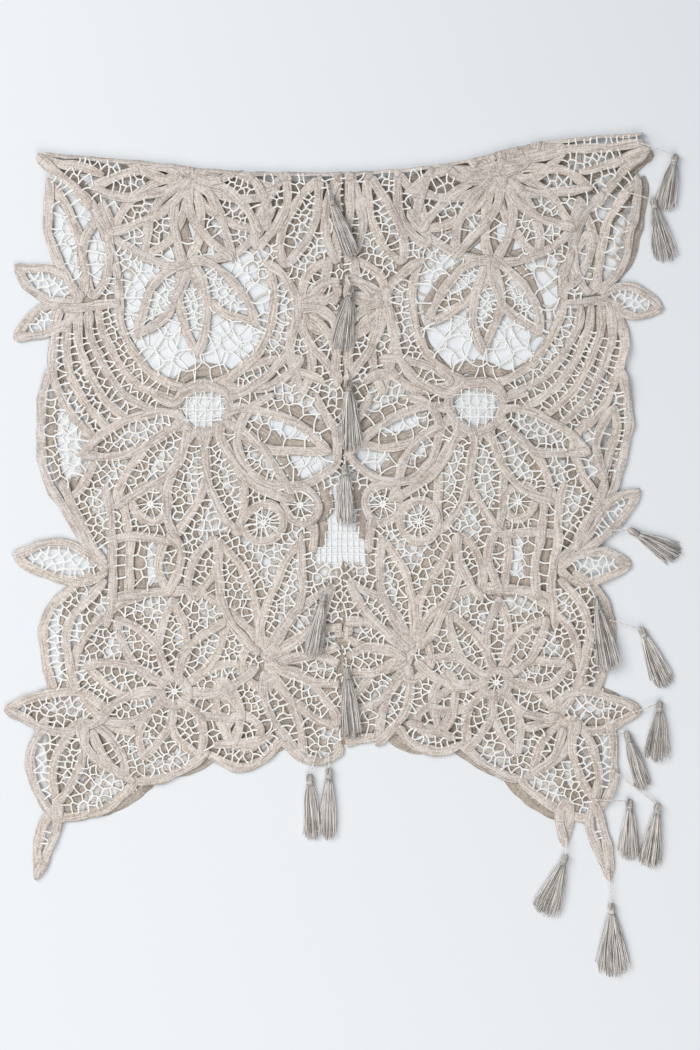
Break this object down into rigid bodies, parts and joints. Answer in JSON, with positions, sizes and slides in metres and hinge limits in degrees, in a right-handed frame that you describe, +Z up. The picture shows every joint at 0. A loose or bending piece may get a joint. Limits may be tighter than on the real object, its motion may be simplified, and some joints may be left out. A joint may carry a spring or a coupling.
{
  "type": "lace shawl",
  "caption": "Tape-lace shawl of bent woven tapes with open net between them, folded over at the shoulder and laid flat, its two fronts meeting at the centre, with thread tassels.",
  "frame": {"origin": "on the underside of the back panel, on the tape that joins its two halves, at the level of the middle tassels", "axes": "+Z up from the surface that the shawl lies on, +Y towards the shoulder fold, +X to the picture's right"},
  "size_m": [0.6778, 0.8433, 0.0161],
  "materials": {
    "lace_tape": "woven linen-coloured tape, matt",
    "tassel_thread": "loose twisted thread, soft sheen"
  },
  "bodies": {
    "root": {"back_panel": "lace_tape", "shoulder_fold": "lace_tape", "front_left_panel": "lace_tape", "front_right_panel": "lace_tape", "tassel_seam_1": "tassel_thread", "tassel_seam_2": "tassel_thread", "tassel_seam_3": "tassel_thread", "tassel_seam_4": "tassel_thread", "tassel_seam_5": "tassel_thread", "tassel_seam_6": "tassel_thread", "tassel_hem_left": "tassel_thread", "tassel_hem_right": "tassel_thread", "tassel_corner_top": "tassel_thread", "tassel_edge_1": "tassel_thread", "tassel_edge_2": "tassel_thread", "tassel_edge_3": "tassel_thread", "tassel_edge_4": "tassel_thread", "tassel_edge_5": "tassel_thread", "tassel_edge_6": "tassel_thread", "tassel_edge_7": "tassel_thread", "tassel_edge_8": "tassel_thread", "tassel_tail_short": "tassel_thread", "tassel_tail_long": "tassel_thread"}
  },
  "joints": []
}
